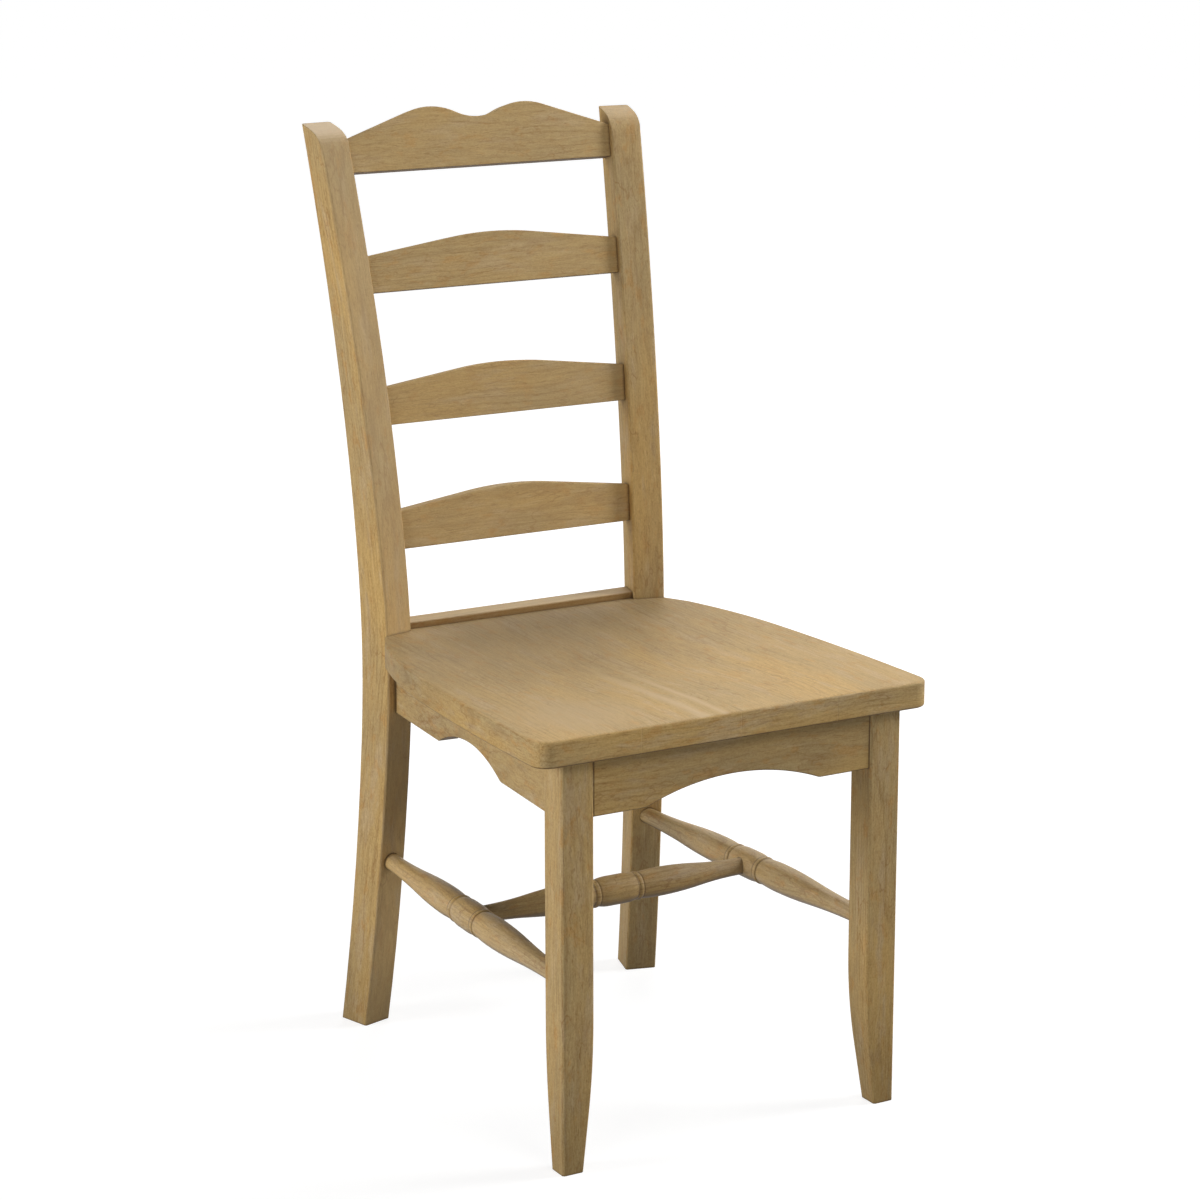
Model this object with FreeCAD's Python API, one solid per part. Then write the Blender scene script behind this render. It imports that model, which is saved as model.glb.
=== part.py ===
"""A wooden ladder-back dining chair with a saddled seat and turned stretchers, in millimetres.

X runs across the chair, Y from the front legs to the back, Z up from the floor.
While it is drawn, Y starts at the front face of the front legs. At the end the whole chair
is moved so that the origin lies on the floor under the middle of its bounding box.
Every piece is a separate solid, with the tenons, dowels, plugs and screws that hold it.
"""
import FreeCAD
import Part
import math
import os

V = FreeCAD.Vector
UP = V(0, 0, 1)

# Overall sizes
SEAT_HEIGHT = 457.0
POST_HEIGHT = 995.6
FIT_GAP = 0.15          # side clearance of a tenon, dowel, plug or screw in its hole
END_GAP = 1.0           # room left at the bottom of a mortise or hole
SEAT_GAP = 0.3          # between the loose edge of the seat and the posts or the rear rail

# Rear posts, each one bent piece from the floor to the top
POST_WIDTH = 35.5
POST_DEPTH_FOOT = 40.5
POST_DEPTH_KNEE = 43.5
POST_DEPTH_TOP = 33.0
POST_CHAMFER = 1.6
POST_KNEE_DROP = 25.0   # the bend's lowest point, below the top of the seat
POST_KNEE_OUT = 162.4   # from the middle of the chair
POST_KNEE_BACK = 453.6  # behind the front face of the front legs
POST_FOOT_KICK = 41.0
POST_FOOT_SPLAY = 14.2
POST_TOP_LEAN = 91.5
POST_TOP_SPLAY = 19.2
POST_KICK_BEND = 1.8    # power of each curve: 1 would be a straight slope, 2 a parabola
POST_SPLAY_BEND = 1.5
POST_TOP_BEND = 1.6
POST_TOE = 16.0         # degrees that the front face turns towards the middle
POST_TOE_TOP = 6.6
POST_TRIM = 20.0        # cut off both ends of the loft, where it starts upright
POST_STATIONS_BELOW = 3
POST_STATIONS_ABOVE = 4
POST_CROWN_HEIGHT = 29.0
POST_CROWN_SLOPE = 14.0 # degrees, at the back of the crown
POST_CROWN_FULLNESS = 0.7

# Front legs, square above and tapered on their two inner faces below
LEG_SIZE = 36.2
LEG_FOOT_SIZE = 23.8
LEG_SPREAD = 398.0      # outside to outside
LEG_TAPER_START = 160.0
LEG_TAPER_STRAIGHT = 60.0
LEG_CHAMFER = 1.8

# Seat, glued up from boards whose grain runs from front to back
SEAT_THICK = 28.0
SEAT_WIDTH = 459.0
SEAT_WAIST_WIDTH = 438.0
SEAT_REAR_WIDTH = 380.0
SEAT_WAIST_BACK = 258.0
SEAT_SIDE_END = 402.0
SEAT_REAR_CORNER = 336.0 # between the points that the cut rear corners run to
SEAT_OVERHANG = 10.5
SEAT_CORNER = 18.0
SEAT_EDGE_ROUND = 3.0
SEAT_BOARDS = ("left", "centre_left", "centre_right", "right")
DISH_DEPTH = 7.0
DISH_WIDTH = 384.0
DISH_LENGTH = 400.0
DISH_BACK = 228.0
DISH_POWER = 1.3
DISH_LIFT = 0.5         # the dished surface starts this far above the flat rim
DISH_GRID = 13
RIDGE_HEIGHT = 2.6
RIDGE_WIDTH = 60.0

# Rails under the seat
APRON_HEIGHT = 59.5
APRON_THICK = 22.0
APRON_CHAMFER = 0.8
ARCH_RISE = 20.0
ARCH_CORNER = 10.0
FRONT_ARCH_WIDTH = 204.0
SIDE_ARCH_WIDTH = 162.0
FRONT_APRON_INSET = 2.0
SIDE_APRON_INSET = 3.0
SIDE_APRON_POST_INSET = 10.0
SIDE_ARCH_SHIFT = -3.0
REAR_RAIL_THICK = 26.0
REAR_RAIL_STAND = 7.0
REAR_RAIL_FRONT = 444.8

# Boards of the back
SLAT_THICK = 18.0
SLAT_CHAMFER = 1.1
SLAT_CROWN_RADIUS = 380.0
SLAT_CROWN_ANGLE = 7.5
LOWER_SLAT_SHARE = 0.1786   # of the way up from the rim of the seat to the crest rail
MIDDLE_SLAT_SHARE = 0.4538
UPPER_SLAT_SHARE = 0.7413
SLAT_HEIGHT = 56.5
CREST_DROP = 51.6       # from the top of the posts to the lower edge of the crest rail
CREST_DIP_HEIGHT = 53.2
CREST_HUMP_HEIGHT = 66.5
CREST_HUMP_OUT = 58.0
CREST_HUMP_RADIUS = 75.0
CREST_END_ANGLE = 18.5
TENON_THICK = 10.0
TENON_LENGTH = 20.0
TENON_HEIGHT = 28.0
TENON_SHOULDER = 6.0

# Turned stretchers
STRETCHER_LEVEL = 196.0
STRETCHER_END_RADIUS = 9.3
STRETCHER_SWELL_RADIUS = 15.8
STRETCHER_GROOVE_RADIUS = 14.2
STRETCHER_BULB_RADIUS = 16.3
STRETCHER_BULB_BAND = 10.0  # the level middle of the bulb, on each side
STRETCHER_GROOVE_OUT = 29.0
SIDE_SWELL_OUT = 56.0
SIDE_WAIST = 0.6        # the hollow share of a vase's length
CROSS_SWELL_OUT = 52.0
CROSS_WAIST = 0.5
STRETCHER_PLUG = 20.0
SIDE_STRETCHER_OUT = 2.0   # from the middle of the front face of the post
CROSS_PLUG_SHORT = 3.0  # the cross stretcher stops this far from the side stretcher's axis

# Dowels, corner blocks and screws
DOWEL_RADIUS = 5.0
DOWEL_HALF_LENGTH = 21.0
DOWEL_LEVELS_ACROSS = (23.0, 47.0)   # in the front apron and the rear rail, above their lower edges
DOWEL_LEVELS_ALONG = (12.0, 34.0)    # in the side aprons
BLOCK_HEIGHT = 28.0
BLOCK_WIDTH = 28.0
BLOCK_CLEARANCE = 1.5
SCREW_RADIUS = 2.0
SCREW_HEAD_RADIUS = 4.0
SCREW_HEAD_HEIGHT = 2.6
SCREW_BITE = 13.0
SCREW_LAND = 9.0        # wood left under a screw's head

UNDERSIDE = SEAT_HEIGHT - SEAT_THICK
APRON_BOTTOM = UNDERSIDE - APRON_HEIGHT
KNEE_HEIGHT = SEAT_HEIGHT - POST_KNEE_DROP
LEG_OUTER = LEG_SPREAD / 2
LEG_INNER = LEG_OUTER - LEG_SIZE
LEG_MIDDLE = LEG_OUTER - LEG_SIZE / 2
CREST_LEVEL = POST_HEIGHT - CREST_DROP


def mirrored(shape):
    """The same piece for the other side of the chair."""
    return shape.mirror(V(0, 0, 0), V(1, 0, 0))


def prism(points, height):
    """A solid standing on a closed polygon of points."""
    return Part.Face(Part.makePolygon(points + [points[0]])).extrude(UP * height)


def biggest_solid(shape):
    return max(shape.Solids, key=lambda solid: solid.Volume)


def rod(start, end, radius):
    direction = end - start
    return Part.makeCylinder(radius, direction.Length, start, direction)


def post_share(height):
    """How far the post is along its bend: 0 at the knee, -1 at the foot, 1 at the top."""
    if height < KNEE_HEIGHT:
        return (height - KNEE_HEIGHT) / KNEE_HEIGHT
    return (height - KNEE_HEIGHT) / (POST_HEIGHT - KNEE_HEIGHT)


def post_centre(height):
    """The middle of the right post's section."""
    share = post_share(height)
    if share < 0:
        splay = POST_FOOT_SPLAY * (-share) ** POST_SPLAY_BEND
        kick = POST_FOOT_KICK * (-share) ** POST_KICK_BEND
    else:
        splay = POST_TOP_SPLAY * share ** POST_TOP_BEND
        kick = POST_TOP_LEAN * share ** POST_TOP_BEND
    return V(POST_KNEE_OUT + splay, POST_KNEE_BACK + kick, height)


def post_depth(height):
    share = post_share(height)
    end = POST_DEPTH_FOOT if share < 0 else POST_DEPTH_TOP
    return POST_DEPTH_KNEE + (end - POST_DEPTH_KNEE) * abs(share)


def post_toe(height):
    """The angle of the right post's section, in degrees."""
    return POST_TOE + (POST_TOE_TOP - POST_TOE) * max(0.0, post_share(height))


def post_lean(height):
    """How far the post leans back at a height, in radians."""
    step = 1.0
    rise = post_centre(height + step).y - post_centre(height - step).y
    return math.atan2(rise, 2 * step)


def post_across(height):
    """Towards the outside, along the front face."""
    toe = math.radians(post_toe(height))
    return V(math.cos(toe), -math.sin(toe), 0)


def post_along(height):
    """Towards the back, along the side face."""
    toe = math.radians(post_toe(height))
    return V(math.sin(toe), math.cos(toe), 0)


def post_inner_face(height):
    """The middle of the face that looks at the other post."""
    return post_centre(height) - post_across(height) * (POST_WIDTH / 2)


def post_front_face(height):
    return post_centre(height) - post_along(height) * (post_depth(height) / 2)


def post_section(height, growth):
    """A rectangle round the post's centre, its corners cut off."""
    across = post_across(height)
    along = post_along(height)
    half_width = POST_WIDTH / 2 + growth
    half_depth = post_depth(height) / 2 + growth
    centre = post_centre(height)
    points = []
    for side, end in ((1, 1), (-1, 1), (-1, -1), (1, -1)):
        corner = centre + across * (side * half_width) + along * (end * half_depth)
        by_side = corner - along * (end * POST_CHAMFER)
        by_end = corner - across * (side * POST_CHAMFER)
        points += [by_side, by_end] if side == end else [by_end, by_side]
    return Part.makePolygon(points + [points[0]])


def post_blank(growth=0.0):
    """The right post without its crown, mortises or holes, trimmed from a slightly longer loft."""
    rise = POST_HEIGHT - KNEE_HEIGHT
    heights = [-POST_TRIM]
    heights += [KNEE_HEIGHT * step / POST_STATIONS_BELOW for step in range(POST_STATIONS_BELOW)]
    heights += [KNEE_HEIGHT + rise * step / POST_STATIONS_ABOVE for step in range(POST_STATIONS_ABOVE + 1)]
    heights.append(POST_HEIGHT + POST_TRIM)
    loft = Part.makeLoft([post_section(height, growth) for height in heights], True, False)
    middle = post_centre(KNEE_HEIGHT)
    reach = POST_HEIGHT
    room = Part.makeBox(2 * reach, 2 * reach, POST_HEIGHT, V(middle.x - reach, middle.y - reach, 0))
    return loft.common(room)


def post_crown_cut():
    """What is taken off the front of a post's top to leave its long curved crown."""
    along = post_along(POST_HEIGHT)
    across = post_across(POST_HEIGHT)
    front = post_front_face(POST_HEIGHT)
    lean = math.tan(post_lean(POST_HEIGHT))
    climb = along * lean + UP
    start = front - climb * POST_CROWN_HEIGHT
    peak = front + along * POST_DEPTH_TOP
    fall = along + UP * math.tan(math.radians(POST_CROWN_SLOPE))
    curve = Part.BezierCurve()
    curve.setPoles([
        start,
        start + climb * (POST_CROWN_HEIGHT * POST_CROWN_FULLNESS),
        peak - fall * (POST_DEPTH_TOP * POST_CROWN_FULLNESS),
        peak,
    ])
    over = peak + UP * POST_WIDTH
    low = start - along * POST_WIDTH
    high = low + UP * (over.z - low.z)
    side = Part.Wire([
        curve.toShape(),
        Part.makeLine(peak, over),
        Part.makeLine(over, high),
        Part.makeLine(high, low),
        Part.makeLine(low, start),
    ])
    flat = Part.Face(side)
    flat.translate(across * -POST_WIDTH)
    return flat.extrude(across * (2 * POST_WIDTH))


def slat_outline(half_length):
    """A board's face: straight below, an arc in the middle of its top and straight slopes beside it."""
    angle = math.radians(SLAT_CROWN_ANGLE)
    arc_half = SLAT_CROWN_RADIUS * math.sin(angle)
    arc_drop = SLAT_CROWN_RADIUS * (1 - math.cos(angle))
    end_drop = arc_drop + (half_length - arc_half) * math.tan(angle)
    left_end = V(-half_length, 0, SLAT_HEIGHT - end_drop)
    right_end = V(half_length, 0, SLAT_HEIGHT - end_drop)
    left_arc = V(-arc_half, 0, SLAT_HEIGHT - arc_drop)
    right_arc = V(arc_half, 0, SLAT_HEIGHT - arc_drop)
    return [
        Part.makeLine(V(half_length, 0, 0), V(-half_length, 0, 0)),
        Part.makeLine(V(-half_length, 0, 0), left_end),
        Part.makeLine(left_end, left_arc),
        Part.Arc(left_arc, V(0, 0, SLAT_HEIGHT), right_arc).toShape(),
        Part.makeLine(right_arc, right_end),
        Part.makeLine(right_end, V(half_length, 0, 0)),
    ]


def crest_outline(half_length):
    """The crest rail's face: two humps, a dip between them and straight slopes to the posts."""
    drop = CREST_HUMP_HEIGHT - CREST_DIP_HEIGHT
    meet = 2 * math.atan2(drop, CREST_HUMP_OUT)
    dip_radius = CREST_HUMP_OUT / math.sin(meet) - CREST_HUMP_RADIUS
    meet_out = dip_radius * math.sin(meet)
    meet_height = CREST_DIP_HEIGHT + dip_radius * (1 - math.cos(meet))
    slope = math.radians(CREST_END_ANGLE)
    slope_out = CREST_HUMP_OUT + CREST_HUMP_RADIUS * math.sin(slope)
    slope_height = CREST_HUMP_HEIGHT - CREST_HUMP_RADIUS * (1 - math.cos(slope))
    end_height = slope_height - (half_length - slope_out) * math.tan(slope)
    edges = [Part.makeLine(V(half_length, 0, 0), V(-half_length, 0, 0))]
    edges.append(Part.makeLine(V(-half_length, 0, 0), V(-half_length, 0, end_height)))
    edges.append(Part.makeLine(V(-half_length, 0, end_height), V(-slope_out, 0, slope_height)))
    left_hump = Part.Arc(V(-slope_out, 0, slope_height), V(-CREST_HUMP_OUT, 0, CREST_HUMP_HEIGHT),
                         V(-meet_out, 0, meet_height))
    dip = Part.Arc(V(-meet_out, 0, meet_height), V(0, 0, CREST_DIP_HEIGHT), V(meet_out, 0, meet_height))
    right_hump = Part.Arc(V(meet_out, 0, meet_height), V(CREST_HUMP_OUT, 0, CREST_HUMP_HEIGHT),
                          V(slope_out, 0, slope_height))
    edges += [left_hump.toShape(), dip.toShape(), right_hump.toShape()]
    edges.append(Part.makeLine(V(slope_out, 0, slope_height), V(half_length, 0, end_height)))
    edges.append(Part.makeLine(V(half_length, 0, end_height), V(half_length, 0, 0)))
    return edges


def level_edges(solid, half_thick, reach):
    """The long edges of an upright board: on its two faces, but not at its ends."""
    chosen = []
    for edge in solid.Edges:
        on_face = all(abs(abs(vertex.Point.y) - half_thick) < 0.01 for vertex in edge.Vertexes)
        at_end = all(abs(abs(vertex.Point.x) - reach) < 0.01 for vertex in edge.Vertexes)
        if on_face and not at_end:
            chosen.append(edge)
    return chosen


def back_board(outline_of, front_low_edge, middle_height):
    """A board of the back and the shape of its mortises, both leaning with the posts."""
    lean = post_lean(front_low_edge + middle_height / 2)
    low = front_low_edge - SLAT_THICK / 2 * math.sin(lean)
    middle = low + middle_height / 2 * math.cos(lean)
    tip = post_inner_face(middle).x + TENON_LENGTH
    face = Part.Face(Part.Wire(outline_of(tip)))
    face.translate(V(0, -SLAT_THICK / 2, 0))
    board = face.extrude(V(0, SLAT_THICK, 0))
    board = board.makeChamfer(SLAT_CHAMFER, level_edges(board, SLAT_THICK / 2, tip))

    def bar(gap, end_gap):
        return Part.makeBox(2 * (tip + end_gap), TENON_THICK + 2 * gap, TENON_HEIGHT + 2 * gap,
                            V(-tip - end_gap, -TENON_THICK / 2 - gap, TENON_SHOULDER - gap))

    pieces = [board, bar(0, 0), bar(FIT_GAP, END_GAP)]
    back = post_inner_face(middle).y - (middle - low) * math.tan(lean)
    for piece in pieces:
        piece.rotate(V(0, 0, 0), V(1, 0, 0), -math.degrees(lean))
        piece.translate(V(0, back, low))
    board, tenon, mortise = pieces
    for post in (RIGHT_BLANK, LEFT_BLANK):
        board = board.cut(post)
    return biggest_solid(board).fuse(tenon).removeSplitter(), mortise


def leg_side(width):
    """A leg's profile in XZ, one side straight at 0 and the other tapered below an arc."""
    middle = (LEG_TAPER_START + LEG_TAPER_STRAIGHT) / 2
    angle = math.atan2(LEG_SIZE - LEG_FOOT_SIZE, middle)
    reach = LEG_TAPER_START - middle
    radius = reach / math.tan(angle / 2)
    centre = V(width - radius, 0, LEG_TAPER_START)
    start = V(width, 0, LEG_TAPER_START)
    between = centre + V(math.cos(angle / 2), 0, -math.sin(angle / 2)) * radius
    straight = centre + V(math.cos(angle), 0, -math.sin(angle)) * radius
    foot = V(width - LEG_SIZE + LEG_FOOT_SIZE, 0, 0)
    return Part.Wire([
        Part.makeLine(V(0, 0, 0), V(0, 0, UNDERSIDE)),
        Part.makeLine(V(0, 0, UNDERSIDE), V(width, 0, UNDERSIDE)),
        Part.makeLine(V(width, 0, UNDERSIDE), start),
        Part.Arc(start, between, straight).toShape(),
        Part.makeLine(straight, foot),
        Part.makeLine(foot, V(0, 0, 0)),
    ])


def leg_blank():
    """The right front leg without its holes."""
    profile = Part.Face(leg_side(LEG_SIZE))
    across = profile.extrude(V(0, LEG_SIZE, 0))
    along = profile.copy()
    along.rotate(V(0, 0, 0), UP, 90)
    along = along.extrude(V(-LEG_SIZE, 0, 0))
    along.translate(V(LEG_SIZE, 0, 0))
    leg = across.common(along)
    corners = [edge for edge in leg.Edges if edge.BoundBox.ZLength > LEG_TAPER_STRAIGHT / 2]
    leg = leg.makeChamfer(LEG_CHAMFER, corners)
    leg = mirrored(leg)
    leg.translate(V(LEG_OUTER, 0, 0))
    return leg


def seat_surface():
    """The saddled top: a soft dish with a low ridge along its middle towards the front."""
    rows = []
    reach_x = SEAT_WIDTH / 2 + SEAT_OVERHANG
    front = -SEAT_OVERHANG - SEAT_CORNER
    back = REAR_RAIL_FRONT + SEAT_CORNER
    for row in range(DISH_GRID):
        y = front + (back - front) * row / (DISH_GRID - 1)
        along = min(1.0, abs(2 * (y - DISH_BACK) / DISH_LENGTH))
        points = []
        for column in range(DISH_GRID):
            x = reach_x * (2 * column / (DISH_GRID - 1) - 1)
            across = min(1.0, abs(2 * x / DISH_WIDTH))
            share = ((1 - across ** 2) * (1 - along ** 2)) ** DISH_POWER
            ridge = RIDGE_HEIGHT * math.exp(-(2 * x / RIDGE_WIDTH) ** 2) * share
            points.append(V(x, y, SEAT_HEIGHT + DISH_LIFT - (DISH_DEPTH + DISH_LIFT) * share + ridge))
        rows.append(points)
    surface = Part.BSplineSurface()
    surface.interpolate(rows)
    return surface.toShape().extrude(UP * SEAT_THICK)


def arc_from(start, heading, end):
    """The arc that leaves a point with a level heading and ends at another, with its last heading."""
    chord = end - start
    turn = math.atan2(heading.x * chord.y - heading.y * chord.x, heading.dot(chord))
    across = V(-heading.y, heading.x, 0)
    radius = chord.Length / (2 * math.sin(turn))
    between = start + heading * (radius * math.sin(turn)) + across * (radius * (1 - math.cos(turn)))
    last = heading * math.cos(2 * turn) + across * math.sin(2 * turn)
    return Part.Arc(start, between, end).toShape(), last


def seat_outline():
    half = SEAT_WIDTH / 2
    front = -SEAT_OVERHANG
    back = REAR_RAIL_FRONT - SEAT_GAP
    bend = SEAT_CORNER * (1 - math.sqrt(0.5))
    side_start = V(half, front + SEAT_CORNER, 0)
    waist = V(SEAT_WAIST_WIDTH / 2, SEAT_WAIST_BACK, 0)
    side_end = V(SEAT_REAR_WIDTH / 2, SEAT_SIDE_END, 0)
    front_side, heading = arc_from(side_start, V(0, 1, 0), waist)
    rear_side, heading = arc_from(waist, heading, side_end)
    corner = Part.Arc(V(half - SEAT_CORNER, front, 0), V(half - bend, front + bend, 0), side_start)
    behind = V(SEAT_REAR_CORNER / 2, back, 0)
    half_edges = [corner.toShape(), front_side, rear_side, Part.makeLine(side_end, behind)]
    other_half = [mirrored(edge) for edge in half_edges]
    front_edge = Part.makeLine(V(SEAT_CORNER - half, front, 0), V(half - SEAT_CORNER, front, 0))
    back_edge = Part.makeLine(behind, V(-behind.x, behind.y, 0))
    return Part.Wire(Part.__sortEdges__(half_edges + other_half + [front_edge, back_edge]))


def seat_panel():
    """The whole seat before it is cut into its boards."""
    blank = Part.Face(seat_outline()).extrude(UP * SEAT_THICK)
    blank.translate(UP * UNDERSIDE)
    rounded = []
    for edge in blank.Edges:
        level = edge.BoundBox.ZLength < 0.01
        if level and edge.BoundBox.YMin < SEAT_SIDE_END + SEAT_EDGE_ROUND:
            rounded.append(edge)
    seat = blank.makeFillet(SEAT_EDGE_ROUND, rounded)
    seat = seat.cut(seat_surface())
    post = post_blank(SEAT_GAP)
    return seat.cut(post).cut(mirrored(post))


def seat_boards(panel):
    """The panel cut into boards of equal width, by name."""
    width = SEAT_WIDTH / len(SEAT_BOARDS)
    boards = {}
    for index, name in enumerate(SEAT_BOARDS):
        slab = Part.makeBox(width, 2 * SEAT_WIDTH, 2 * SEAT_HEIGHT,
                            V(index * width - SEAT_WIDTH / 2, -SEAT_WIDTH / 2, 0))
        boards["seat_board_" + name] = panel.common(slab)
    return boards


def apron_outline(length, arch_middle, arch_width):
    """A rail's face from 0 to its length, with a shallow arch in its lower edge."""
    half = arch_width / 2
    start = V(arch_middle - half, 0, 0)
    end = V(arch_middle + half, 0, 0)
    top = V(arch_middle, 0, ARCH_RISE)
    return Part.Wire([
        Part.makeLine(V(0, 0, 0), start),
        Part.Arc(start, top, end).toShape(),
        Part.makeLine(end, V(length, 0, 0)),
        Part.makeLine(V(length, 0, 0), V(length, 0, APRON_HEIGHT)),
        Part.makeLine(V(length, 0, APRON_HEIGHT), V(0, 0, APRON_HEIGHT)),
        Part.makeLine(V(0, 0, APRON_HEIGHT), V(0, 0, 0)),
    ])


def apron_board(length, arch_middle, arch_width):
    """A rail standing on the XY plane, its outer face at Y = 0."""
    board = Part.Face(apron_outline(length, arch_middle, arch_width)).extrude(V(0, APRON_THICK, 0))
    corners = []
    for edge in board.Edges:
        box = edge.BoundBox
        across = box.YLength > APRON_THICK / 2
        at_arch = abs(abs(box.XMin - arch_middle) - arch_width / 2) < 0.01
        if across and at_arch:
            corners.append(edge)
    board = board.makeFillet(ARCH_CORNER, corners)
    lower = []
    for edge in board.Edges:
        box = edge.BoundBox
        if box.YLength < 0.01 and box.XLength > 1 and box.ZMax < APRON_HEIGHT - 1:
            lower.append(edge)
    return board.makeChamfer(APRON_CHAMFER, lower)


def front_apron():
    apron = apron_board(2 * LEG_INNER, LEG_INNER, FRONT_ARCH_WIDTH)
    apron.translate(V(-LEG_INNER, FRONT_APRON_INSET, APRON_BOTTOM))
    return apron


def side_apron_line():
    """Where the right side apron's outer face starts at the leg and ends at the post."""
    start = V(LEG_OUTER - SIDE_APRON_INSET, LEG_SIZE, 0)
    corner = post_front_face(UNDERSIDE) + post_across(UNDERSIDE) * (POST_WIDTH / 2)
    end = corner - post_across(UNDERSIDE) * SIDE_APRON_POST_INSET
    return start, V(end.x, end.y, 0)


def side_apron_place():
    """The placement that carries X along the right side apron, from its front to its back."""
    start, end = side_apron_line()
    turn = math.degrees(math.atan2(end.y - start.y, end.x - start.x))
    return FreeCAD.Placement(start + UP * APRON_BOTTOM, FreeCAD.Rotation(UP, turn)), (end - start).Length


def side_apron():
    """The right side apron, cut to meet the leg and the post face to face."""
    place, length = side_apron_place()
    tail = LEG_SIZE / 2
    middle = tail + length / 2 + SIDE_ARCH_SHIFT
    apron = apron_board(length + 2 * tail, middle, SIDE_ARCH_WIDTH)
    apron.translate(V(-tail, 0, 0))
    apron.Placement = place.multiply(apron.Placement)
    return biggest_solid(apron.cut(RIGHT_LEG_BLANK).cut(RIGHT_BLANK))


def rear_rail():
    """The rail between the posts. Its top stands a little above the seat."""
    height = SEAT_HEIGHT + REAR_RAIL_STAND - APRON_BOTTOM
    rail = Part.makeBox(2 * POST_KNEE_OUT, REAR_RAIL_THICK, height,
                        V(-POST_KNEE_OUT, REAR_RAIL_FRONT, APRON_BOTTOM))
    long_edges = [edge for edge in rail.Edges if edge.BoundBox.XLength > POST_KNEE_OUT]
    rail = rail.makeChamfer(APRON_CHAMFER, long_edges)
    return biggest_solid(rail.cut(RIGHT_BLANK).cut(LEFT_BLANK))


def stretcher(half_length, swell_out, waist, plug):
    """A turned rail along X: two long vases, two grooves and a bulb between them.

    Each vase is hollow from its thin end and then full up to its swell, on one smooth curve.
    """
    slim = STRETCHER_END_RADIUS
    tip = half_length + plug
    thin = V(half_length, slim, 0)
    swell = V(swell_out, STRETCHER_SWELL_RADIUS, 0)
    waist_end = thin + (swell - thin) * waist
    groove = V(STRETCHER_GROOVE_OUT, STRETCHER_GROOVE_RADIUS, 0)
    bulb = V(STRETCHER_BULB_BAND, STRETCHER_BULB_RADIUS, 0)
    right_side = [
        Part.makeLine(V(tip, 0, 0), V(tip, slim, 0)),
        Part.makeLine(V(tip, slim, 0), thin),
        arc_from(thin, V(-1, 0, 0), waist_end)[0],
        arc_from(swell, V(1, 0, 0), waist_end)[0],
        arc_from(swell, V(-1, 0, 0), groove)[0],
        arc_from(groove, V(-1, 0, 0), (groove + bulb) * 0.5)[0],
        arc_from(bulb, V(1, 0, 0), (groove + bulb) * 0.5)[0],
    ]
    left_side = [mirrored(edge) for edge in right_side]
    band = Part.makeLine(V(-bulb.x, bulb.y, 0), bulb)
    axis = Part.makeLine(V(-tip, 0, 0), V(tip, 0, 0))
    outline = Part.Wire(Part.__sortEdges__(right_side + left_side + [band, axis]))
    return Part.Face(outline).revolve(V(0, 0, 0), V(1, 0, 0), 360)


def side_stretcher_ends():
    """Where the right side stretcher's axis meets the leg and the post."""
    front = V(LEG_MIDDLE, LEG_SIZE, STRETCHER_LEVEL)
    back = post_front_face(STRETCHER_LEVEL) + post_across(STRETCHER_LEVEL) * SIDE_STRETCHER_OUT
    return front, back


def side_stretcher():
    front, back = side_stretcher_ends()
    length = (back - front).Length
    rail = stretcher(length / 2, SIDE_SWELL_OUT, SIDE_WAIST, STRETCHER_PLUG)
    turn = math.degrees(math.atan2(back.y - front.y, back.x - front.x))
    rail.rotate(V(0, 0, 0), UP, turn)
    rail.translate((front + back) * 0.5)
    return rail


def side_stretcher_bore(end, inwards):
    """The hole for one end of the side stretcher, from clear outside to its bottom."""
    depth = STRETCHER_PLUG + END_GAP
    outside = end - inwards * depth
    return rod(outside, end + inwards * depth, STRETCHER_END_RADIUS + FIT_GAP)


def cross_stretcher_reach():
    """Half of the distance between the side stretchers' axes, and how far back they cross."""
    front, back = side_stretcher_ends()
    middle = (front + back) * 0.5
    return middle.x, middle.y


def cross_stretcher():
    reach, back = cross_stretcher_reach()
    half_length = reach - STRETCHER_BULB_RADIUS
    plug = STRETCHER_BULB_RADIUS - CROSS_PLUG_SHORT
    rail = stretcher(half_length, CROSS_SWELL_OUT, CROSS_WAIST, plug)
    rail.translate(V(0, back, STRETCHER_LEVEL))
    return rail


def cross_stretcher_bore():
    reach, back = cross_stretcher_reach()
    start = V(0, back, STRETCHER_LEVEL)
    end = V(reach - CROSS_PLUG_SHORT + END_GAP, back, STRETCHER_LEVEL)
    return rod(start, end, STRETCHER_END_RADIUS + FIT_GAP)


def dowels(middle, direction, levels):
    """Dowels through a joint at each level above the bottom of the aprons, with their holes."""
    pegs = []
    holes = []
    for level in levels:
        centre = V(middle.x, middle.y, APRON_BOTTOM + level)
        half = direction * DOWEL_HALF_LENGTH
        deep = direction * (DOWEL_HALF_LENGTH + END_GAP)
        pegs.append(rod(centre - half, centre + half, DOWEL_RADIUS))
        holes.append(rod(centre - deep, centre + deep, DOWEL_RADIUS + FIT_GAP))
    return pegs, holes


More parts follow.
